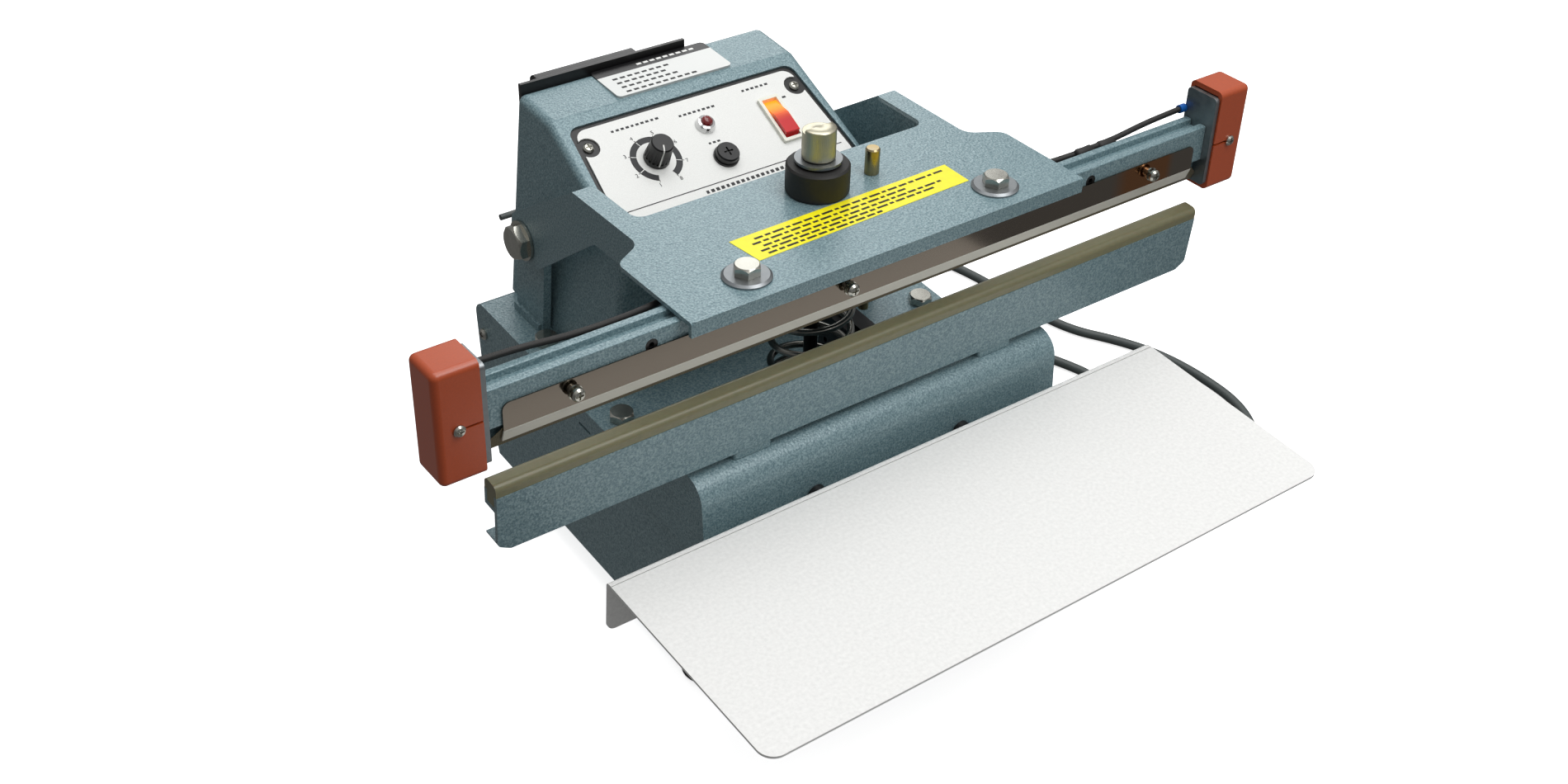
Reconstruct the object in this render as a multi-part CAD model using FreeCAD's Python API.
import FreeCAD, Part
import math
import os

# Impulse heat sealer head, 450 mm seal class, worked by a pull rod from a foot pedal.
# Millimetres, +Z up, +Y to the back.  The origin is under the middle of the machine, at the feet.

V = FreeCAD.Vector

# ---- driving dimensions -------------------------------------------------------------------
JAW_LENGTH = 470.0          # lower jaw and heater bar, for a 450 mm seal
CAP_OUTER = 262.5           # half the width over the end caps
HALF_DEPTH = 211.0          # from the origin to the shelf's front edge and to the rear cover
FOOT_HEIGHT = 14.5
BASE_HALF = 121.6           # half width of the base shell
COVER_HALF = 123.2          # half width of the front cover, which laps over the shell
COVER_FOOT = 101.0
DECK = 120.5                # top of the base's rear deck
BOX_TOP = 150.0             # top of the front box that carries the lower jaw
BOX_BACK = -22.0
SHEET = 1.5
JAW_FRONT = -52.5
JAW_DEPTH = 11.6
JAW_BOTTOM = 155.2
JAW_EDGE = 189.6            # where the rubber starts
RUBBER_TOP = 196.3
SHELF_TOP = 130.0
SHELF_HALF = 188.0
SHELF_BACK = -74.8
SHELF_FLANGE = 33.5
PIVOT_Y = 139.0             # arm pivot axis, along X
PIVOT_Z = 181.5
OPEN_TILT = 3.78            # degrees that the arm stands above level when open
BAR_FRONT = -187.5          # arm frame: origin on the pivot axis, level arm
BAR_TOP = 54.6
BAR_DEPTH = 16.0
PLATE_TOP = 57.6
PLATE_THICK = 2.4
PLATE_HALF = 128.6
PLATE_FRONT = -197.0
PLATE_REAR = -99.6
RAIL_OUTER = 110.0
RAIL_INNER = 97.0
ROD_Y = -126.5              # pull rod's axis in the arm frame
ROD_R = 4.0
BUSHING_TALL = 18.0
EYE_DROP = 235.7            # from the top of the rubber bushing to the pull rod's eye
PANEL_TILT = 23.5           # degrees
PANEL_Y = 84.4              # a point of the housing's sloping face
PANEL_Z = 213.9
HOUSING_FOOT_HALF = 98.0
HOUSING_HEAD_HALF = 84.7
HOUSING_HEAD = 244.4
CORD_R = 3.3

X_AXIS = V(1, 0, 0)
Y_AXIS = V(0, 1, 0)
Z_AXIS = V(0, 0, 1)
ORIGIN = V(0, 0, 0)


# ---- shape helpers ------------------------------------------------------------------------
def block(x0, x1, y0, y1, z0, z1):
    return Part.makeBox(x1 - x0, y1 - y0, z1 - z0, V(x0, y0, z0))


def rod(x, y, z, radius, length, axis=Z_AXIS):
    return Part.makeCylinder(radius, length, V(x, y, z), axis)


def cone(x, y, z, radius, end_radius, length, axis=Z_AXIS):
    return Part.makeCone(radius, end_radius, length, V(x, y, z), axis)


def joined(shapes):
    whole = shapes[0]
    for shape in shapes[1:]:
        whole = whole.fuse(shape)
    return whole.removeSplitter()


def group(shapes):
    return Part.makeCompound(shapes)


def mirrored(shape):
    return shape.mirror(ORIGIN, X_AXIS)


def pair(shape):
    return group([shape, mirrored(shape)])


def in_plane(plane, a, b):
    """The point (a, b) of the named plane through the origin."""
    if plane == "yz":
        return V(0, a, b)
    if plane == "xz":
        return V(a, 0, b)
    return V(a, b, 0)


def outline(plane, corners):
    """A closed wire through corners (a, b, radius), with tangent arcs at the rounded ones."""
    edges = []
    spans = []
    count = len(corners)
    for i in range(count):
        a, b, radius = corners[i]
        here = in_plane(plane, a, b)
        if radius == 0:
            spans.append((here, here, None))
            continue
        last = corners[i - 1]
        following = corners[(i + 1) % count]
        back = (in_plane(plane, last[0], last[1]) - here).normalize()
        ahead = (in_plane(plane, following[0], following[1]) - here).normalize()
        half_angle = back.getAngle(ahead) / 2
        reach = radius / math.tan(half_angle)
        inward = (back + ahead).normalize()
        middle = here + inward * (radius / math.sin(half_angle) - radius)
        spans.append((here + back * reach, here + ahead * reach, middle))
    for i in range(count):
        start, end, middle = spans[i]
        if middle is not None:
            edges.append(Part.Arc(start, middle, end).toShape())
        next_start = spans[(i + 1) % count][0]
        if (next_start - end).Length > 1e-6:
            edges.append(Part.LineSegment(end, next_start).toShape())
    return Part.Wire(edges)


def prism(plane, corners, start, end):
    """The outline filled and carried along the plane's normal from start to end."""
    normal = {"yz": X_AXIS, "xz": Y_AXIS, "xy": Z_AXIS}[plane]
    face = Part.Face(outline(plane, corners))
    solid = face.extrude(normal * (end - start))
    solid.translate(normal * start)
    return solid


def rounded_rectangle(a0, a1, b0, b1, radius):
    return [(a0, b0, radius), (a1, b0, radius), (a1, b1, radius), (a0, b1, radius)]


def turned(profile):
    """A solid of revolution about Z from (radius, height) points, closed on the axis side."""
    points = [V(r, 0, z) for r, z in profile]
    face = Part.Face(Part.makePolygon(points + [points[0]]))
    return face.revolve(ORIGIN, Z_AXIS, 360)


def stood(shape, x, y, z, axis=Z_AXIS):
    """A copy of a shape made about +Z, turned onto the axis and moved to the point."""
    copy = shape.copy()
    turn = FreeCAD.Rotation(Z_AXIS, axis)
    copy.Placement = FreeCAD.Placement(V(x, y, z), turn).multiply(copy.Placement)
    return copy


def hex_prism(across_flats, height):
    corner = across_flats / math.sqrt(3)
    points = []
    for i in range(7):
        angle = math.radians(60 * i)
        points.append(V(corner * math.cos(angle), corner * math.sin(angle), 0))
    head = Part.Face(Part.makePolygon(points)).extrude(V(0, 0, height))
    crown = across_flats / 2 - 0.4
    chamfer = cone(0, 0, -corner, crown + corner + height, crown, corner + height)
    return head.common(chamfer)


def hex_bolt(across_flats, head, shank_r, length):
    """Head above the XY plane, shank below it."""
    return joined([hex_prism(across_flats, head), rod(0, 0, -length, shank_r, length)])


def pan_screw(head_r, head, shank_r, length):
    """Domed head with a cross recess above the XY plane, shank below it."""
    dome = turned([(0, 0), (head_r, 0), (head_r, head * 0.45), (head_r * 0.72, head * 0.85), (0, head)])
    slot = head_r * 0.62
    cross = block(-slot, slot, -head_r * 0.13, head_r * 0.13, head * 0.45, head * 2)
    cross = cross.fuse(block(-head_r * 0.13, head_r * 0.13, -slot, slot, head * 0.45, head * 2))
    return joined([dome.cut(cross), rod(0, 0, -length, shank_r, length)])


def washer(outer_r, inner_r, thickness):
    return rod(0, 0, 0, outer_r, thickness).cut(rod(0, 0, -1, inner_r, thickness + 2))


def on_arm(shape):
    """From the level arm frame to the open arm, about the pivot axis."""
    copy = shape.copy()
    copy.rotate(ORIGIN, X_AXIS, -OPEN_TILT)
    copy.translate(V(0, PIVOT_Y, PIVOT_Z))
    return copy


def on_panel(shape):
    """From the panel frame (x, up the slope, out of the face) to the housing's sloping face."""
    copy = shape.copy()
    copy.rotate(ORIGIN, X_AXIS, PANEL_TILT)
    copy.translate(V(0, PANEL_Y, PANEL_Z))
    return copy


def between(z, points):
    """The y at height z on the line through (y, z) points listed from the lowest up."""
    for low, high in zip(points, points[1:]):
        if z <= high[1]:
            break
    share = (z - low[1]) / (high[1] - low[1])
    return low[0] + share * (high[0] - low[0])


def base_front(z):
    return between(z, [(-70.0, FOOT_HEIGHT), (-68.0, COVER_FOOT), (-61.0, BOX_TOP)])


def base_rear(z):
    return between(z, [(154.0, FOOT_HEIGHT), (173.0, 78.0), (179.0, DECK)])


def housing_rear(z):
    return 178.7 + (z - DECK) * 9.8 / (HOUSING_HEAD - DECK)


# ---- base ---------------------------------------------------------------------------------
FOOT_SPOTS = [(-108.0, -52.0), (108.0, -52.0), (-108.0, 135.0), (108.0, 135.0)]
DECK_BOLT_SPOTS = [(-107.5, 38.0), (107.5, 38.0), (-107.5, 119.0), (107.5, 119.0)]
SHELL_FOOT = FOOT_HEIGHT + 2.2
ROD_SLOT = (-9.5, 9.5, -16.0, 20.0)
STAND_HOLE_X = 85.0
STAND_HOLE_Y = (-30.0, 110.0)
STAND_HOLE_R = 4.5
JAW_MOUNT_X = (-84.0, 84.0)
SHELF_SCREW_X = (-51.0, 51.0)
SHELF_SCREW_Z = SHELF_TOP - 12
JAW_BOLT_Y = JAW_FRONT + 7.4


def rod_slot(z0, z1):
    x0, x1, y0, y1 = ROD_SLOT
    return prism("xy", rounded_rectangle(x0, x1, y0, y1, 8.5), z0, z1)


def make_bottom_plate():
    low, high = FOOT_HEIGHT, FOOT_HEIGHT + 2
    half = BASE_HALF - 2.1
    front, back = base_front(high) + 3.4, base_rear(high) - 2.2
    plate = prism("xy", rounded_rectangle(-half, half, front, back, 4), low, high)
    plate = plate.cut(rod_slot(low - 1, high + 1))
    for x, y in FOOT_SPOTS:
        plate = plate.cut(rod(x, y, low - 1, 2.6, 4))
    for y in STAND_HOLE_Y:
        for x in (-STAND_HOLE_X, STAND_HOLE_X):
            plate = plate.cut(rod(x, y, low - 1, STAND_HOLE_R, 4))
    return plate


def shell_solid(inset, foot):
    """The base's outer form, shrunk by the inset; its front stands 1.6 behind the front cover's."""
    knee = 78.0
    profile = [
        (base_front(foot) + 1.6 + inset, foot, 0),
        (between(foot, [(154.0, FOOT_HEIGHT), (173.0, knee)]) - inset, foot, 0),
        (base_rear(knee) - inset, knee, 30),
        (base_rear(DECK) - inset, DECK - inset, 8 - inset),
        (base_front(DECK) + 1.6 + inset, DECK - inset, 0),
        (base_front(COVER_FOOT) + 1.6 + inset, COVER_FOOT, 0),
    ]
    return prism("yz", profile, -BASE_HALF + inset, BASE_HALF - inset)


def make_base_shell():
    shell = shell_solid(0, SHELL_FOOT).cut(shell_solid(SHEET, SHELL_FOOT - 2))
    shell = shell.cut(rod_slot(DECK - 4, DECK + 4))
    for x, y in DECK_BOLT_SPOTS:
        shell = shell.cut(rod(x, y, DECK - 5, 4.05, 8))
    for x in SHELF_SCREW_X:
        shell = shell.cut(rod(x, -50, SHELF_SCREW_Z, 2.55, 40, V(0, -1, 0)))
    for side in (-1, 1):
        shell = shell.cut(block(side * BASE_HALF - 3, side * BASE_HALF + 3, 48, 60, DECK - 13.5, DECK - 11.5))
        shell = shell.cut(rod(side * (BASE_HALF + 2), 168, COVER_FOOT, 2.05, 8, V(-side, 0, 0)))
    cord_hole = rod(0, 0, -10, 7.05, 20)
    wiring_hole = block(-60, 60, 78, 160, DECK - 4, DECK + 4)
    return shell.cut(at_cord_exit(cord_hole)).cut(wiring_hole)


def make_front_cover():
    lap = DECK + 0.1
    outer = [
        (base_front(COVER_FOOT), COVER_FOOT, 0), (0, COVER_FOOT, 0), (0, lap + SHEET, 3),
        (BOX_BACK, lap + SHEET, 0), (BOX_BACK, BOX_TOP, 4), (base_front(BOX_TOP), BOX_TOP, 14),
    ]
    inner = [
        (base_front(COVER_FOOT) + SHEET, COVER_FOOT - 5, 0), (5, COVER_FOOT - 5, 0), (5, lap, 0),
        (BOX_BACK - SHEET, lap, 0), (BOX_BACK - SHEET, BOX_TOP - SHEET, 2.5),
        (base_front(BOX_TOP) + SHEET, BOX_TOP - SHEET, 12.5), (base_front(COVER_FOOT) + SHEET, COVER_FOOT, 0),
    ]
    cover = prism("yz", outer, -COVER_HALF, COVER_HALF)
    cover = cover.cut(prism("yz", inner, -BASE_HALF - 0.1, BASE_HALF + 0.1))
    cover = cover.cut(rod_slot(lap - 2, lap + 4))
    for x in JAW_MOUNT_X:
        cover = cover.cut(rod(x, JAW_BOLT_Y, BOX_TOP - 6, 2.55, 12))
    for x in SHELF_SCREW_X:
        cover = cover.cut(rod(x, -50, SHELF_SCREW_Z, 2.55, 40, V(0, -1, 0)))
    return cover


def make_deck_bolts():
    bolt = hex_bolt(13, 5.3, 3.9, 14)
    return group([stood(bolt, x, y, DECK + 0.05) for x, y in DECK_BOLT_SPOTS])


def make_case_screws():
    side_screw = pan_screw(3.6, 2.6, 1.95, 8)
    foot_screw = pan_screw(4.4, 3.0, 2.5, 11)
    side = BASE_HALF + 0.05
    placed = [stood(side_screw, x, 168, COVER_FOOT, V(x, 0, 0).normalize()) for x in (-side, side)]
    placed += [stood(foot_screw, x, y, 7.95, V(0, 0, -1)) for x, y in FOOT_SPOTS]
    return group(placed)


def make_feet():
    profile = [(0, 0), (9.5, 0), (11.4, 0.7), (12.6, 2.4), (13.2, 5), (13.8, FOOT_HEIGHT - 1.4),
               (13.4, FOOT_HEIGHT), (0, FOOT_HEIGHT)]
    foot = turned(profile)
    foot = foot.cut(rod(0, 0, -1, 5.0, 9)).cut(rod(0, 0, 5, 2.6, FOOT_HEIGHT))
    return group([stood(foot, x, y, 0) for x, y in FOOT_SPOTS])


# ---- lower jaw and shelf ------------------------------------------------------------------
def make_lower_jaw():
    half = JAW_LENGTH / 2
    body = [(-half, JAW_EDGE, 0), (-half, JAW_BOTTOM + 4, 3), (-half + 7, JAW_BOTTOM, 3)]
    body += [(half - 7, JAW_BOTTOM, 3), (half, JAW_BOTTOM + 4, 3), (half, JAW_EDGE, 0)]
    back = JAW_FRONT + JAW_DEPTH
    jaw = prism("xz", body, JAW_FRONT, back)
    channel = block(-half - 1, half + 1, JAW_FRONT + 2.4, back - 2.4, JAW_EDGE - 7, JAW_EDGE + 1)
    hollow = block(-half - 1, half + 1, JAW_FRONT + 2.4, back + 1, JAW_BOTTOM + 6, JAW_EDGE - 10)
    jaw = jaw.cut(channel).cut(hollow)
    for x in JAW_MOUNT_X:
        jaw = jaw.cut(rod(x, JAW_BOLT_Y, JAW_BOTTOM - 2, 2.55, 10))
    return jaw


def make_jaw_rubber():
    half = JAW_LENGTH / 2
    front, back = JAW_FRONT, JAW_FRONT + JAW_DEPTH
    crown = [
        (front + 2.55, JAW_EDGE - 6.9, 0),
        (back - 2.55, JAW_EDGE - 6.9, 0),
        (back - 2.55, JAW_EDGE + 0.05, 0),
        (back - 0.3, JAW_EDGE + 0.05, 0),
        (back - 0.3, RUBBER_TOP, 3.2),
        (front + 0.3, RUBBER_TOP, 3.2),
        (front + 0.3, JAW_EDGE + 0.05, 0),
        (front + 2.55, JAW_EDGE + 0.05, 0),
    ]
    return prism("yz", crown, -half, half)


def make_jaw_spacers():
    y0, y1 = JAW_FRONT + 0.6, JAW_FRONT + JAW_DEPTH - 0.6
    spacer = prism("xy", rounded_rectangle(72, 96, y0, y1, 2), BOX_TOP + 0.05, JAW_BOTTOM - 0.05)
    spacer = spacer.cut(rod(84, JAW_BOLT_Y, BOX_TOP - 1, 2.55, 12))
    return pair(spacer)


def make_jaw_bolts():
    bolt = hex_bolt(8, 3.5, 2.5, 14)
    return group([stood(bolt, x, JAW_BOLT_Y, JAW_BOTTOM + 6.05) for x in JAW_MOUNT_X])


def make_work_shelf():
    """A flat top with rounded front corners, bent down at the back into a drilled flange."""
    half, front, foot = SHELF_HALF, -HALF_DEPTH, SHELF_TOP - SHELF_FLANGE
    top = [(-half, SHELF_BACK, 0), (half, SHELF_BACK, 0), (half, front, 9), (-half, front, 9)]
    top = prism("xy", top, SHELF_TOP - SHEET, SHELF_TOP)
    drop = [(-half, SHELF_TOP, 0), (half, SHELF_TOP, 0), (half, foot, 5), (-half, foot, 5)]
    drop = prism("xz", drop, SHELF_BACK - SHEET, SHELF_BACK)
    bend = [(SHELF_BACK - 4, SHELF_TOP, 0), (SHELF_BACK - 4, SHELF_TOP - 4, 0),
            (SHELF_BACK, SHELF_TOP - 4, 0), (SHELF_BACK, SHELF_TOP, 2.4)]
    bend = prism("yz", bend, -half, half)
    corner_room = block(-half - 10, half + 10, SHELF_BACK - 4.5, SHELF_BACK + 1, SHELF_TOP - 4, SHELF_TOP + 1)
    shelf = joined([top.cut(corner_room), drop.cut(corner_room), bend])
    under = SHELF_TOP - SHEET
    inside = block(-half - 10, half + 10, SHELF_BACK - 6, SHELF_BACK - SHEET, SHELF_TOP - 6, under)
    shelf = shelf.cut(inside)
    for x in SHELF_SCREW_X:
        shelf = shelf.cut(rod(x, SHELF_BACK + 3, SHELF_SCREW_Z, 2.55, 8, V(0, -1, 0)))
    return shelf


def make_shelf_screws():
    screw = pan_screw(4.6, 3.0, 2.45, 18)
    face = SHELF_BACK - SHEET - 0.05
    return group([stood(screw, x, face, SHELF_SCREW_Z, V(0, -1, 0)) for x in SHELF_SCREW_X])


def make_shelf_spacers():
    room = base_front(SHELF_SCREW_Z) - SHELF_BACK
    sleeve = stood(washer(5.5, 2.6, room - 1.1), 0, SHELF_BACK + 0.05, SHELF_SCREW_Z, Y_AXIS)
    spacers = []
    for x in SHELF_SCREW_X:
        spacer = sleeve.copy()
        spacer.translate(V(x, 0, 0))
        spacers.append(spacer)
    return group(spacers)


# ---- control housing ----------------------------------------------------------------------
RECESS_FOOT = -8.0
RECESS_HEAD = 66.6
RECESS_FOOT_HALF = 83.7
RECESS_HEAD_HALF = 77.3
DIAL = (-38.0, 32.0)
LAMP = (2.0, 43.2)
FUSE = (2.2, 19.6)
SWITCH = (48.6, 32.2)
SWITCH_HALF_X = 7.2
SWITCH_HALF_S = 16.2
PANEL_SCREWS = [(-71.4, 51.5), (71.4, 51.5)]
ROCKER_PIVOT = -1.5         # height of the rocker's pin, below the panel's face
ROCKER_REST = 9.0           # degrees that the rocker leans when it is switched on
HOUSING_WALL = 2.4


def housing_solid(inset, radius):
    """The housing's outer form: a wedge tapered in x, every edge above the deck rounded."""
    slope = math.tan(math.radians(PANEL_TILT))
    drop = inset / math.cos(math.radians(PANEL_TILT))
    low = DECK + 0.1 if inset == 0 else DECK - 5
    front, face_head = 65.5 + inset, 152.5
    profile = [
        (front, low, 0),
        (housing_rear(low) - inset, low, 0),
        (housing_rear(HOUSING_HEAD) - inset, HOUSING_HEAD - inset, 0),
        (face_head, PANEL_Z + (face_head - PANEL_Y) * slope - drop, 0),
        (front, PANEL_Z + (front - PANEL_Y) * slope - drop, 0),
    ]
    body = prism("yz", profile, -110, 110)
    grow = (HOUSING_FOOT_HALF - HOUSING_HEAD_HALF) / (HOUSING_HEAD - DECK)
    foot_half = HOUSING_FOOT_HALF - inset + 20 * grow
    head_half = HOUSING_HEAD_HALF - inset - 20 * grow
    sides = [(-foot_half, DECK - 20, 0), (foot_half, DECK - 20, 0),
             (head_half, HOUSING_HEAD + 20, 0), (-head_half, HOUSING_HEAD + 20, 0)]
    body = body.common(prism("xz", sides, 0, 300))
    upper_edges = [edge for edge in body.Edges if edge.CenterOfMass.z > low + 0.5]
    return body.makeFillet(radius, upper_edges)


def recess_outline(inset):
    return [
        (-RECESS_FOOT_HALF + inset, RECESS_FOOT + inset, 6),
        (RECESS_FOOT_HALF - inset, RECESS_FOOT + inset, 6),
        (RECESS_HEAD_HALF - inset, RECESS_HEAD - inset, 7),
        (-RECESS_HEAD_HALF + inset, RECESS_HEAD - inset, 7),
    ]


def panel_holes():
    """Openings for the timer bush, lamp, fuse holder, switch and panel screws, in the panel frame."""
    x, s = SWITCH
    half_x, half_s = SWITCH_HALF_X - 0.9, SWITCH_HALF_S - 0.9
    holes = [
        rod(DIAL[0], DIAL[1], -10, 4.8, 20),
        rod(LAMP[0], LAMP[1], -10, 4.3, 20),
        rod(FUSE[0], FUSE[1], -10, 6.3, 20),
        block(x - half_x, x + half_x, s - half_s, s + half_s, -10, 10),
    ]
    holes += [rod(px, ps, -10, 1.75, 20) for px, ps in PANEL_SCREWS]
    return group(holes)


def make_control_housing():
    body = housing_solid(0, 5)
    shell = body.cut(housing_solid(HOUSING_WALL, 2.6))
    recess = on_panel(prism("xy", recess_outline(0), -2.0, 20))
    floor = body.common(on_panel(prism("xy", recess_outline(-1.2), -4.2, -2.0)))
    shell = shell.cut(recess).fuse(floor).removeSplitter()
    shell = shell.cut(on_panel(panel_holes()))
    lead_hole = block(-9, 9, 60, 80, 172, 194)
    cover_hole = block(-56, -2, 170, 200, 175, 230)
    return shell.cut(lead_hole).cut(cover_hole)


def make_panel_gasket():
    plate = prism("xy", recess_outline(0.15), -1.95, -1.35)
    return on_panel(plate.cut(panel_holes()))


def make_control_panel():
    plate = prism("xy", recess_outline(3.0), -1.3, -0.3)
    for x, s in PANEL_SCREWS:
        plate = plate.cut(rod(x, s, -5, 6.6, 10))
    return on_panel(plate.cut(panel_holes()))


def make_panel_screws():
    screw = pan_screw(3.2, 2.2, 1.65, 8)
    return group([on_panel(stood(screw, x, s, -1.3)) for x, s in PANEL_SCREWS])


def make_name_plate():
    blank = prism("xy", rounded_rectangle(-37, 42, 155, 187, 3), HOUSING_HEAD - 2, HOUSING_HEAD + 0.6)
    return blank.cut(housing_solid(0, 5))


def make_rear_cover():
    low, high = 146.0, 248.5
    flange = [(housing_rear(low) + 0.1, low, 0), (housing_rear(low) + 3.1, low, 1),
              (housing_rear(high) + 3.1, high, 1), (housing_rear(high) + 0.1, high, 0)]
    box_low, box_high = 158.0, 241.0
    box = [(housing_rear(box_low) + 2.0, box_low, 0), (HALF_DEPTH, box_low, 6),
           (HALF_DEPTH, box_high, 5), (housing_rear(box_high) + 2.0, box_high, 0)]
    hollow = [(housing_rear(box_low) - 3, box_low + 2, 0), (HALF_DEPTH - 2, box_low + 2, 4),
              (HALF_DEPTH - 2, box_high - 2, 3), (housing_rear(box_high) - 3, box_high - 2, 0)]
    cover = joined([prism("yz", flange, -81.5, 30.5), prism("yz", box, -63, 5)])
    return cover.cut(prism("yz", hollow, -61, 3))


def make_timer_unit():
    bush = rod(DIAL[0], DIAL[1], -14, 4.6, 13.0)
    nut = stood(hex_prism(11, 1.6), DIAL[0], DIAL[1], -0.25)
    neck = rod(DIAL[0], DIAL[1], -1.2, 4.45, 2.0)
    can = prism("xy", rounded_rectangle(DIAL[0] - 13, DIAL[0] + 13, DIAL[1] - 13, DIAL[1] + 13, 2), -32, -14)
    unit = joined([can, bush, neck, nut])
    return on_panel(unit.cut(rod(DIAL[0], DIAL[1], -22, 3.06, 40)))


def make_timer_knob():
    skirt = [(0, 1.8), (6.7, 1.8), (6.7, 0.15), (7.7, 0.15), (7.6, 2.0)]
    crown = [(6.6, 14.0), (6.0, 14.8), (0, 14.8)]
    body = turned(skirt + crown)
    for i in range(18):
        angle = math.radians(20 * i)
        groove = rod(7.6 * math.cos(angle), 7.6 * math.sin(angle), 2.6, 0.75, 9.5)
        body = body.cut(groove)
    knob = joined([body, rod(0, 0, -21, 3.0, 30)])
    return on_panel(stood(knob, DIAL[0], DIAL[1], 0))


def make_lamp_bezel():
    ring = turned([(3.7, -9), (4.2, -9), (4.2, -0.25), (6.0, -0.25), (6.0, 0.6), (5.0, 3.2), (3.7, 3.6)])
    return on_panel(stood(ring, LAMP[0], LAMP[1], 0))


def make_lamp_lens():
    lens = turned([(0, -14), (3.6, -14), (3.6, 3.9), (3.1, 5.1), (2.0, 5.9), (0, 6.2)])
    return on_panel(stood(lens, LAMP[0], LAMP[1], 0))


def make_fuse_holder():
    outside = [(0, -30), (6.1, -30), (6.1, -0.25), (7.6, -0.25), (7.6, 1.1)]
    bore = [(5.3, 1.1), (5.3, -26), (0, -26)]
    body = turned(outside + bore)
    return on_panel(stood(body, FUSE[0], FUSE[1], 0))


def make_fuse_cap():
    cap = turned([(0, 1.3), (6.9, 1.3), (6.9, 4.3), (6.3, 5.2), (0, 5.2)])
    stem = rod(0, 0, -7, 5.24, 9)
    cross = block(-3.0, 3.0, -0.55, 0.55, 4.0, 6).fuse(block(-0.55, 0.55, -3.0, 3.0, 4.0, 6))
    return on_panel(stood(joined([cap, stem]).cut(cross), FUSE[0], FUSE[1], 0))


def make_switch_frame():
    x, s = SWITCH
    half_x, half_s = SWITCH_HALF_X, SWITCH_HALF_S
    rim = prism("xy", rounded_rectangle(x - half_x, x + half_x, s - half_s, s + half_s, 1), -0.25, 2.0)
    body = block(x - half_x + 1, x + half_x - 1, s - half_s + 1, s + half_s - 1, -24, -0.1)
    well = block(x - half_x + 2.0, x + half_x - 2.0, s - half_s + 2.0, s + half_s - 2.0, -13, 5)
    pin_hole = rod(x - half_x - 1, s, ROCKER_PIVOT, 1.05, 2 * half_x + 2, X_AXIS)
    return on_panel(joined([rim, body]).cut(well).cut(pin_hole))


def make_rocker():
    x, s = SWITCH
    half = SWITCH_HALF_S - 3.3
    side = [(-half, -5.0, 0.6), (half, -5.0, 0.6), (half, 2.2, 0.5), (0.0, 4.4, 3), (-half, 2.2, 0.5)]
    paddle = prism("yz", side, -SWITCH_HALF_X + 2.35, SWITCH_HALF_X - 2.35)
    pin = rod(-SWITCH_HALF_X + 1.1, 0, ROCKER_PIVOT, 1.0, 2 * SWITCH_HALF_X - 2.2, X_AXIS)
    paddle = joined([paddle, pin])
    paddle.rotate(V(0, 0, ROCKER_PIVOT), X_AXIS, -ROCKER_REST)
    paddle.translate(V(x, s, 0))
    return on_panel(paddle)


def make_transformer_core():
    core = block(-48, 48, 52, 142, 26, 92)
    for low in (40, 66):
        core = core.cut(block(-32, 32, 50, 144, low, low + 12))
    feet = block(-48, 48, 62, 132, FOOT_HEIGHT + 2.05, 26)
    return joined([core, feet])


def make_transformer_winding():
    outer = prism("xz", rounded_rectangle(-31.6, 31.6, 40.4, 77.6, 2), 44, 150)
    return outer.cut(block(-40, 40, 51.6, 142.4, 51.6, 66.4))


def make_micro_switch():
    case = block(27, 45, 1.5, 35.5, DECK + 0.1, DECK + 26)
    case = case.cut(rod(26, 8, DECK + 8, 1.6, 20, X_AXIS)).cut(rod(26, 29, DECK + 8, 1.6, 20, X_AXIS))
    button = rod(36, 12, DECK + 25, 2.2, 3.5)
    lever = block(32, 40, 3, 34, DECK + 28.1, DECK + 28.9)
    heel = block(32, 40, 30, 34, DECK + 25, DECK + 28.9)
    return joined([case, button, lever, heel])


# ---- pivot --------------------------------------------------------------------------------
BRACKET_IN = 99.5
BRACKET_OUT = 104.5


def make_pivot_brackets():
    y, z = PIVOT_Y, PIVOT_Z
    foot = DECK + 0.1
    upright = [(y - 11, foot, 0), (y + 19, foot, 0), (y + 14, z + 16, 12), (y - 14, z + 16, 12)]
    bracket = prism("yz", upright, BRACKET_IN, BRACKET_OUT)
    toe = block(BRACKET_IN, 106.5, y - 9, y + 19, foot, foot + 5)
    bracket = joined([bracket, toe]).cut(rod(90, y, z, 6.0, 40, X_AXIS))
    return pair(bracket)


def make_pivot_bushes():
    sleeve = washer(8.0, 6.0, RAIL_OUTER + 0.3 - BRACKET_OUT)
    return pair(stood(sleeve, BRACKET_OUT, PIVOT_Y, PIVOT_Z, X_AXIS))


def make_pivot_bolts():
    bolt = hex_bolt(19, 6.0, 5.95, 17)
    disc = washer(12, 5.9, 1.5)
    bolt.translate(V(0, 0, 1.5))
    whole = joined([bolt, disc])
    return pair(stood(whole, RAIL_OUTER + 0.35, PIVOT_Y, PIVOT_Z, X_AXIS))


# ---- arm (level arm frame, origin on the pivot axis) ----------------------------------------
BAR_BOLT_X = (-82.0, 82.0)
BAR_BOLT_Y = BAR_FRONT + 10.5
PIN_X = 36.0                # plunger that works the micro-switch
PIN_Y = -128.0
BAR_FOOT = BAR_TOP - 22.0   # underside of the bar's rails
NOSE_FOOT = BAR_TOP - 36.0  # underside of the sealing nose
BAR_HALF = JAW_LENGTH / 2 + 0.6
WEB_FRONT = BAR_FRONT + 4.9
WEB_THICK = 4.3
CLAMP_SCREW_X = (-190.0, -27.0, 190.0)
CLAMP_SCREW_Z = BAR_TOP - 15.5
STUD_X = (-145.0, 145.0)
CAP_SCREW_X = 251.5


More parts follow.
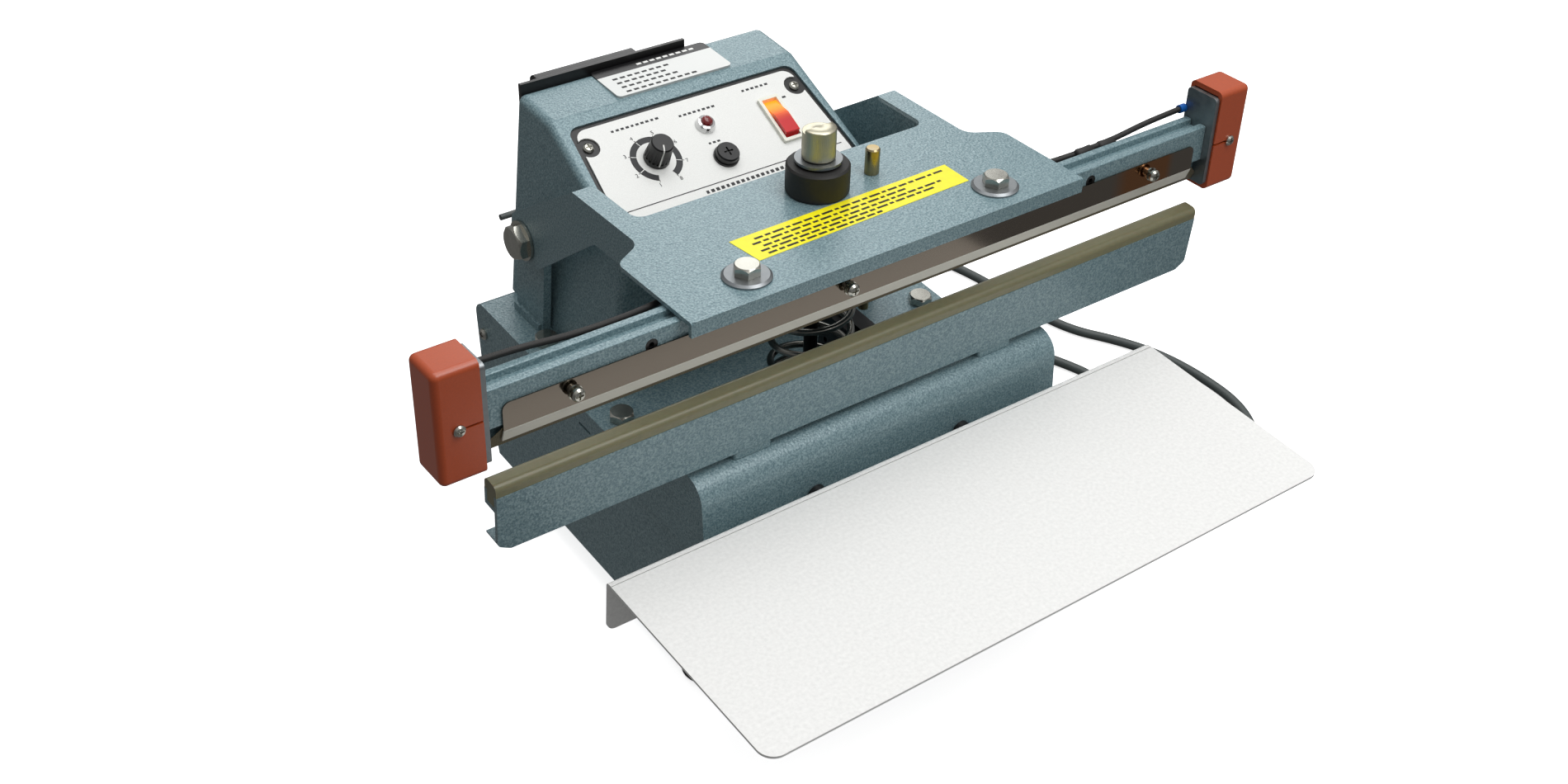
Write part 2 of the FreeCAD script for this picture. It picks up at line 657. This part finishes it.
def make_arm_yoke():
    under = PLATE_TOP - PLATE_THICK
    half = [
        (0, PLATE_FRONT, 0), (PLATE_HALF, PLATE_FRONT, 3), (PLATE_HALF, -131.5, 8), (RAIL_OUTER, -121, 10),
        (RAIL_OUTER, -57, 0), (RAIL_INNER, -57, 2), (RAIL_INNER, PLATE_REAR, 7), (0, PLATE_REAR, 0),
    ]
    right = prism("xy", half, under, PLATE_TOP)
    lip_back = PLATE_FRONT + PLATE_THICK
    lip = prism("yz", [(PLATE_FRONT, PLATE_TOP, 1.5), (PLATE_FRONT, PLATE_TOP - 8.5, 0),
                       (lip_back, PLATE_TOP - 8.5, 0), (lip_back, PLATE_TOP, 0)], 0, PLATE_HALF)
    ear = [
        (-122, PLATE_TOP, 0), (-118, 36, 3), (-78, 36, 6), (-13, -14, 13), (15, -9, 13),
        (12, 12, 8), (-57, PLATE_TOP, 0),
    ]
    side = prism("yz", ear, RAIL_OUTER - PLATE_THICK, RAIL_OUTER)
    side = side.cut(rod(90, 0, 0, 8.05, 40, X_AXIS))
    half_yoke = joined([right, lip, side])
    yoke = joined([half_yoke, mirrored(half_yoke)])
    for x in BAR_BOLT_X:
        yoke = yoke.cut(rod(x, BAR_BOLT_Y, under - 5, 4.05, 20))
    yoke = yoke.cut(rod(0, ROD_Y, under - 5, 7.0, 20))
    yoke = yoke.cut(rod(PIN_X, PIN_Y, under - 5, 3.05, 20))
    return on_arm(yoke)


def make_heater_bar():
    front, back = BAR_FRONT, BAR_FRONT + BAR_DEPTH
    section = [
        (front, BAR_FOOT, 1), (back, BAR_FOOT, 1), (back, BAR_TOP, 0.8), (back - 4.6, BAR_TOP, 0.8),
        (back - 4.6, BAR_TOP - 3.6, 0), (front + 4.8, BAR_TOP - 3.6, 0), (front + 4.8, BAR_TOP, 0.8),
        (front, BAR_TOP, 0.8),
    ]
    bar = prism("yz", section, -BAR_HALF, BAR_HALF)
    web = block(-BAR_HALF, BAR_HALF, WEB_FRONT, WEB_FRONT + WEB_THICK, NOSE_FOOT + 2.6, BAR_FOOT + 1)
    bar = joined([bar, web])
    pads = [block(x - 10, x + 10, front + 4.8, back - 4.6, BAR_TOP - 4, BAR_TOP) for x in BAR_BOLT_X]
    bar = joined([bar] + pads)
    for x in BAR_BOLT_X:
        bar = bar.cut(rod(x, BAR_BOLT_Y, BAR_FOOT + 3, 4.05, 40))
    for x in CLAMP_SCREW_X:
        bar = bar.cut(rod(x, front - 1, CLAMP_SCREW_Z, 1.55, 9, Y_AXIS))
    for x in STUD_X:
        bar = bar.cut(rod(x, front - 1, BAR_TOP - 8.2, 3.6, 7, Y_AXIS))
    return on_arm(bar)


def make_bar_studs():
    stud = rod(0, 0, 0, 3.5, 5.0).cut(stood(hex_prism(3, 3), 0, 0, 2.6))
    return group([on_arm(stood(stud, x, BAR_FRONT + 5.2, BAR_TOP - 8.2, V(0, -1, 0))) for x in STUD_X])


def make_ribbon_seat():
    seat = block(-BAR_HALF, BAR_HALF, WEB_FRONT, WEB_FRONT + WEB_THICK, NOSE_FOOT + 0.55, NOSE_FOOT + 2.55)
    return on_arm(seat)


def make_heating_ribbon():
    middle = WEB_FRONT + WEB_THICK / 2
    ribbon = block(-BAR_HALF + 4, BAR_HALF - 4, middle - 1.5, middle + 1.5, NOSE_FOOT + 0.3, NOSE_FOOT + 0.5)
    return on_arm(ribbon)


def make_release_cloth():
    """A thin woven cloth wrapped under the nose of the bar, as a U along the bar."""
    front, back = BAR_FRONT - 0.1, BAR_FRONT + 9.6
    skirt = BAR_FOOT - 1
    knee = skirt - 1
    outer = [(front, skirt, 0), (front, knee, 0), (front + 4.5, NOSE_FOOT, 0.8),
             (back, NOSE_FOOT, 0.8), (back, skirt, 0)]
    inner = [(front + 0.25, skirt + 2, 0), (front + 0.25, knee, 0), (front + 4.72, NOSE_FOOT + 0.25, 0.5),
             (back - 0.25, NOSE_FOOT + 0.25, 0.5), (back - 0.25, skirt + 2, 0)]
    cloth = prism("yz", outer, -BAR_HALF, BAR_HALF)
    cloth = cloth.cut(prism("yz", inner, -BAR_HALF - 6, BAR_HALF + 6))
    for side in (-1, 1):
        snip = prism("xz", [(side * 236, NOSE_FOOT + 5, 0), (side * 236, skirt + 1, 0),
                            (side * 226, skirt + 1, 0)], BAR_FRONT - 3, BAR_FRONT + 4.6)
        cloth = cloth.cut(snip)
    return on_arm(cloth)


def make_clamp_strip():
    face = BAR_FRONT - 0.35
    thick = 0.8
    top, bend, foot = BAR_TOP - 9.4, BAR_TOP - 24.4, BAR_TOP - 31.4
    section = [
        (face, top, 0), (face, bend, 0), (face + 2.6, foot, 0), (face + 2.6 - thick, foot - 0.3, 0),
        (face - thick, bend - 0.2, 0), (face - thick, top, 0),
    ]
    strip = prism("yz", section, -227, 227)
    keep = prism("xz", rounded_rectangle(-227, 227, foot - 3, top, 4), BAR_FRONT - 10, BAR_FRONT + 10)
    strip = strip.common(keep)
    for x in CLAMP_SCREW_X:
        strip = strip.cut(rod(x, face - 3, CLAMP_SCREW_Z, 2.0, 8, Y_AXIS))
    return on_arm(strip)


def make_clamp_screws():
    screw = pan_screw(3.6, 2.8, 1.5, 13)
    collar = rod(0, 0, -4.4, 2.7, 1.9)
    disc = rod(0, 0, -2.4, 3.9, 0.9)
    stack = joined([screw, collar, disc])
    face = BAR_FRONT - 0.35 - 0.8
    return group([on_arm(stood(stack, x, face - 4.5, CLAMP_SCREW_Z, V(0, -1, 0))) for x in CLAMP_SCREW_X])


def make_end_plates():
    front, back = BAR_FRONT - 4.6, BAR_FRONT + 17.4
    plate = prism("yz", rounded_rectangle(front, back, BAR_TOP - 37, BAR_TOP + 18.5, 2.5), 235.8, 238.6)
    return on_arm(pair(plate))


def make_end_caps():
    front, back = BAR_FRONT - 5.6, BAR_FRONT + 18.4
    foot, head = BAR_TOP - 40.6, BAR_TOP + 22
    shell = block(238.9, CAP_OUTER, front, back, foot, head)
    outer_edges = []
    for edge in shell.Edges:
        middle = edge.CenterOfMass
        on_inner_face = abs(middle.x - 238.9) < 0.1
        if not on_inner_face:
            outer_edges.append(edge)
    shell = shell.makeFillet(3.4, outer_edges)
    shell = shell.cut(block(238, CAP_OUTER - 3, front + 3, back - 3, foot + 3, head - 3))
    slot = block(238, 250.5, front - 1, front + 3.5, BAR_TOP - 11.6, BAR_TOP - 10.4)
    shell = shell.cut(slot).cut(rod(CAP_SCREW_X, front - 1, BAR_TOP - 11, 1.9, 8, Y_AXIS))
    return on_arm(pair(shell))


def make_cap_screws():
    screw = pan_screw(3.1, 2.1, 1.8, 10)
    front = BAR_FRONT - 5.6
    placed = stood(screw, CAP_SCREW_X, front - 0.05, BAR_TOP - 11, V(0, -1, 0))
    return on_arm(pair(placed))


def make_bar_bolts():
    bolt = hex_bolt(13, 5.6, 3.9, 16)
    return group([on_arm(stood(bolt, x, BAR_BOLT_Y, PLATE_TOP + 2.1)) for x in BAR_BOLT_X])


def make_bar_washers():
    profile = [(4.2, 0), (13.0, 0), (13.0, 0.9), (11.6, 2.0), (4.2, 2.0)]
    return group([on_arm(stood(turned(profile), x, BAR_BOLT_Y, PLATE_TOP + 0.05)) for x in BAR_BOLT_X])


def lead_route(side):
    """A heater lead: from the end terminal along the back of the bar, then under the plate to the housing."""
    back = BAR_FRONT + BAR_DEPTH + 2.4
    return [
        V(side * 231, back - 0.4, BAR_TOP + 4.5),
        V(side * 205, back + 0.6, BAR_TOP + 2.6),
        V(side * 176, back, BAR_TOP - 0.4),
        V(side * 146, back + 1.5, BAR_TOP - 2.0),
        V(side * 118, back + 9, BAR_TOP - 6.0),
        V(side * 84, back + 30, BAR_TOP - 9.0),
        V(side * 50, back + 58, BAR_TOP - 18.0),
        V(side * 24, back + 77, BAR_TOP - 38.0),
        V(side * 5, back + 92, BAR_TOP - 54.0),
        V(side * 4.5, back + 112, BAR_TOP - 57.0),
    ]


def tube_along(points, radius, report=None):
    """A round tube on straight runs joined by tangent arcs, each as large as its runs allow."""
    edges = []
    start = points[0]
    count = len(points)
    radii = []
    for i in range(1, count - 1):
        back = points[i - 1] - points[i]
        ahead = points[i + 1] - points[i]
        shorter = min(back.Length, ahead.Length)
        back.normalize()
        ahead.normalize()
        half_angle = back.getAngle(ahead) / 2
        reach = 0.45 * shorter
        bend = reach * math.tan(half_angle)
        radii.append(bend)
        first = points[i] + back * reach
        last = points[i] + ahead * reach
        inward = (back + ahead).normalize()
        middle = points[i] + inward * (bend / math.sin(half_angle) - bend)
        edges.append(Part.LineSegment(start, first).toShape())
        edges.append(Part.Arc(first, middle, last).toShape())
        start = last
    edges.append(Part.LineSegment(start, points[-1]).toShape())
    path = Part.Wire(edges)
    along = (points[1] - points[0]).normalize()
    section = Part.Wire(Part.makeCircle(radius, points[0], along))
    tube = path.makePipeShell([section], True, False)
    if report:
        expected = math.pi * radius ** 2 * path.Length
        print(report, "length", round(path.Length, 1), "volume / expected", round(tube.Volume / expected, 4))
        print(report, "bend radii", [round(value) for value in radii])
    return tube


def make_heater_leads():
    return group([on_arm(tube_along(lead_route(side), 1.7)) for side in (-1, 1)])


def make_lead_terminals():
    back = BAR_FRONT + BAR_DEPTH + 2.0
    barrel = rod(231.2, back, BAR_TOP + 4.5, 2.5, 4.5, X_AXIS)
    return on_arm(pair(barrel))


def make_rubber_bushing():
    """The top falls away from the bore by more than the washer's tilt when the arm is closed."""
    head = BUSHING_TALL
    profile = [(7.0, 0), (16.8, 0), (17.4, 1.2), (17.5, 8), (17.4, head - 2.6), (16.4, head - 1.5),
               (7.0, head - 0.65), (7.0, 0)]
    return on_arm(stood(turned(profile), 0, ROD_Y, PLATE_TOP + 0.05))


def make_pressure_washer():
    return on_arm(stood(washer(12.9, ROD_R + 0.05, 1.6), 0, ROD_Y, PLATE_TOP + BUSHING_TALL + 0.05))


def make_pressure_nut():
    barrel = turned([(ROD_R + 0.06, 0), (8.6, 0), (9.2, 0.6), (9.2, 17.2), (8.6, 17.8), (0, 17.8),
                     (0, 12.0), (ROD_R + 0.06, 12.0)])
    step = block(-10, 10, 0.6, 10, 15.4, 20)
    return on_arm(stood(barrel.cut(step), 0, ROD_Y, PLATE_TOP + BUSHING_TALL + 1.95))


def make_pull_rod():
    eye_z = PLATE_TOP + BUSHING_TALL - EYE_DROP
    head = PLATE_TOP + BUSHING_TALL + 12
    shaft = rod(0, 0, eye_z + 6, ROD_R, head - eye_z - 6)
    eye = prism("yz", rounded_rectangle(-9, 9, eye_z - 9, eye_z + 11, 8), -4.5, 4.5)
    whole = joined([shaft, eye]).cut(rod(-10, 0, eye_z, 4.1, 20, X_AXIS))
    return on_arm(stood(whole, 0, ROD_Y, 0))


def make_switch_pin():
    foot = -87.0
    shank = [(0, foot), (2.9, foot), (2.9, 0.05), (3.9, 0.05)]
    head = [(4.1, 0.5), (4.1, 14.6), (3.4, 15.4), (0, 15.4)]
    pin = turned(shank + head)
    return on_arm(stood(pin, PIN_X, PIN_Y, PLATE_TOP))


def make_return_spring():
    coil_r, wire_r, turns, height = 22.4, 2.1, 9, 117.9
    helix = Part.makeHelix(height / turns, height, coil_r)
    ring = Part.Wire(Part.makeCircle(wire_r, V(coil_r, 0, 0), Y_AXIS))
    coil = Part.Wire(helix.Edges).makePipeShell([ring], True, True)
    return on_arm(stood(coil, 0, ROD_Y, PLATE_TOP - PLATE_THICK - 2.6 - height))


def make_arm_stop():
    """A capped stud with a cross pin on the deck, left of the spring."""
    profile = [(0, 0), (3.0, 0), (3.0, 9), (3.6, 9), (3.6, 11), (2.6, 12), (0, 12)]
    stud = stood(turned(profile), -71, 120, DECK + 0.1)
    stub = rod(-70, 119.5, DECK + 6, 1.2, 15, V(0.94, -0.34, 0))
    return joined([stud, stub])


# ---- mains lead ---------------------------------------------------------------------------
CORD_EXIT_X = 60.0
CORD_EXIT_Z = 60.0
COIL_X = 110.0
COIL_Y = 345.0
COIL_MEAN_R = 38.0
COIL_HALF_WIDTH = 6.6
COIL_FOOT = 0.2
COIL_HEAD = 13.4
COIL_ENTRY = 35.0           # degrees
GLAND_LENGTH = 36.0


def at_cord_exit(shape):
    """From a shape about +Z to the cord's exit, square to the base's leaning back."""
    lean = V(0, 78.0 - FOOT_HEIGHT, -(173.0 - 154.0)).normalize()
    return stood(shape, CORD_EXIT_X, base_rear(CORD_EXIT_Z), CORD_EXIT_Z, lean)


def cord_points():
    angle = math.radians(COIL_ENTRY)
    entry_r = COIL_MEAN_R + CORD_R
    entry = (COIL_X + entry_r * math.cos(angle), COIL_Y + entry_r * math.sin(angle))
    low = CORD_R + 0.2
    start = at_cord_exit(Part.Vertex(0, 0, -12)).Point
    clear = at_cord_exit(Part.Vertex(0, 0, 52)).Point
    route = [
        (80, 245, 22), (112, 258, low), (155, 245, low), (188, 210, low), (212, 165, low), (230, 115, low),
        (248, 75, low), (262, 50, low), (272, 22, low), (262, -14, low), (261, -52, low), (280, -84, low),
        (318, -84, low), (336, -52, low), (336, -14, low), (329, 20, low), (314, 48, low), (294, 74, low),
        (285, 110, low), (280, 160, low), (262, 210, low), (230, 255, low), (195, 290, low),
        (entry[0], entry[1], low),
    ]
    return [start, clear] + [V(*point) for point in route]


def make_cord_gland():
    bore = CORD_R + 0.05
    body = turned([(bore, -12), (6.9, -12), (6.9, 0.1), (10, 0.1), (10, 5), (6.4, 6.5), (4.4, GLAND_LENGTH),
                   (bore, GLAND_LENGTH)])
    for i in range(6):
        groove = washer(9, 3.9, 1.3)
        groove.translate(V(0, 0, 10 + 4 * i))
        body = body.cut(groove)
    return at_cord_exit(body)


def make_mains_cord():
    return tube_along(cord_points(), CORD_R, report="mains cord")


def coil_section(grow, radius):
    inner = COIL_MEAN_R - COIL_HALF_WIDTH - grow
    outer = COIL_MEAN_R + COIL_HALF_WIDTH + grow
    return rounded_rectangle(inner, outer, max(COIL_FOOT - grow, 0.1), COIL_HEAD + grow, radius)


def make_mains_cord_coil():
    """The rest of the lead wound flat, as one ring of the coil's outer size."""
    face = Part.Face(outline("xz", coil_section(0, 3.0)))
    coil = face.revolve(ORIGIN, Z_AXIS, 360)
    coil.translate(V(COIL_X, COIL_Y, 0))
    return coil


def make_mains_plug():
    """A moulded plug on the coil's free end, flat on the floor, its pins towards -X."""
    nose = cone(0, 0, 0, 4.3, 7.5, 26)
    body = prism("xy", rounded_rectangle(-9, 9, -17, 17, 6), 26, 58)
    pins = [rod(0, side * 9.5, 58, 2.4, 19) for side in (-1, 1)]
    plug = joined([nose, body] + pins)
    return stood(plug, COIL_X - 18, COIL_Y + COIL_MEAN_R + CORD_R, 9.3, V(-1, 0, 0))


def make_cord_tie():
    inner, outer = COIL_MEAN_R - COIL_HALF_WIDTH - 1.4, COIL_MEAN_R + COIL_HALF_WIDTH + 1.4
    strap = prism("xz", rounded_rectangle(inner, outer, 0.02, COIL_HEAD + 1.4, 3.6), -4, 4)
    strap = strap.cut(prism("xz", coil_section(0.5, 3.0), -5, 5))
    strap.rotate(ORIGIN, Z_AXIS, -65)
    strap.translate(V(COIL_X, COIL_Y, 0))
    return strap


NODES = {
    "bottom_plate": make_bottom_plate,
    "base_shell": make_base_shell,
    "front_cover": make_front_cover,
    "deck_bolts": make_deck_bolts,
    "case_screws": make_case_screws,
    "feet": make_feet,
    "lower_jaw": make_lower_jaw,
    "jaw_rubber": make_jaw_rubber,
    "jaw_spacers": make_jaw_spacers,
    "jaw_bolts": make_jaw_bolts,
    "work_shelf": make_work_shelf,
    "shelf_screws": make_shelf_screws,
    "shelf_spacers": make_shelf_spacers,
    "control_housing": make_control_housing,
    "panel_gasket": make_panel_gasket,
    "control_panel": make_control_panel,
    "panel_screws": make_panel_screws,
    "name_plate": make_name_plate,
    "rear_cover": make_rear_cover,
    "timer_unit": make_timer_unit,
    "timer_knob": make_timer_knob,
    "lamp_bezel": make_lamp_bezel,
    "lamp_lens": make_lamp_lens,
    "fuse_holder": make_fuse_holder,
    "fuse_cap": make_fuse_cap,
    "switch_frame": make_switch_frame,
    "switch_rocker": make_rocker,
    "transformer_core": make_transformer_core,
    "transformer_winding": make_transformer_winding,
    "micro_switch": make_micro_switch,
    "arm_stop": make_arm_stop,
    "pivot_brackets": make_pivot_brackets,
    "pivot_bushes": make_pivot_bushes,
    "pivot_bolts": make_pivot_bolts,
    "arm_yoke": make_arm_yoke,
    "heater_bar": make_heater_bar,
    "bar_studs": make_bar_studs,
    "ribbon_seat": make_ribbon_seat,
    "heating_ribbon": make_heating_ribbon,
    "release_cloth": make_release_cloth,
    "clamp_strip": make_clamp_strip,
    "clamp_screws": make_clamp_screws,
    "end_plates": make_end_plates,
    "end_caps": make_end_caps,
    "cap_screws": make_cap_screws,
    "bar_bolts": make_bar_bolts,
    "bar_washers": make_bar_washers,
    "heater_leads": make_heater_leads,
    "lead_terminals": make_lead_terminals,
    "rubber_bushing": make_rubber_bushing,
    "pressure_washer": make_pressure_washer,
    "pressure_nut": make_pressure_nut,
    "pull_rod": make_pull_rod,
    "switch_pin": make_switch_pin,
    "return_spring": make_return_spring,
    "cord_gland": make_cord_gland,
    "mains_cord": make_mains_cord,
    "mains_cord_coil": make_mains_cord_coil,
    "mains_plug": make_mains_plug,
    "cord_tie": make_cord_tie,
}

os.makedirs("parts", exist_ok=True)
for name, make in NODES.items():
    shape = make()
    if shape.isNull() or not shape.isValid():
        print("INVALID", name)
    shape.exportStep("parts/" + name + ".step")
print(len(NODES), "nodes written")
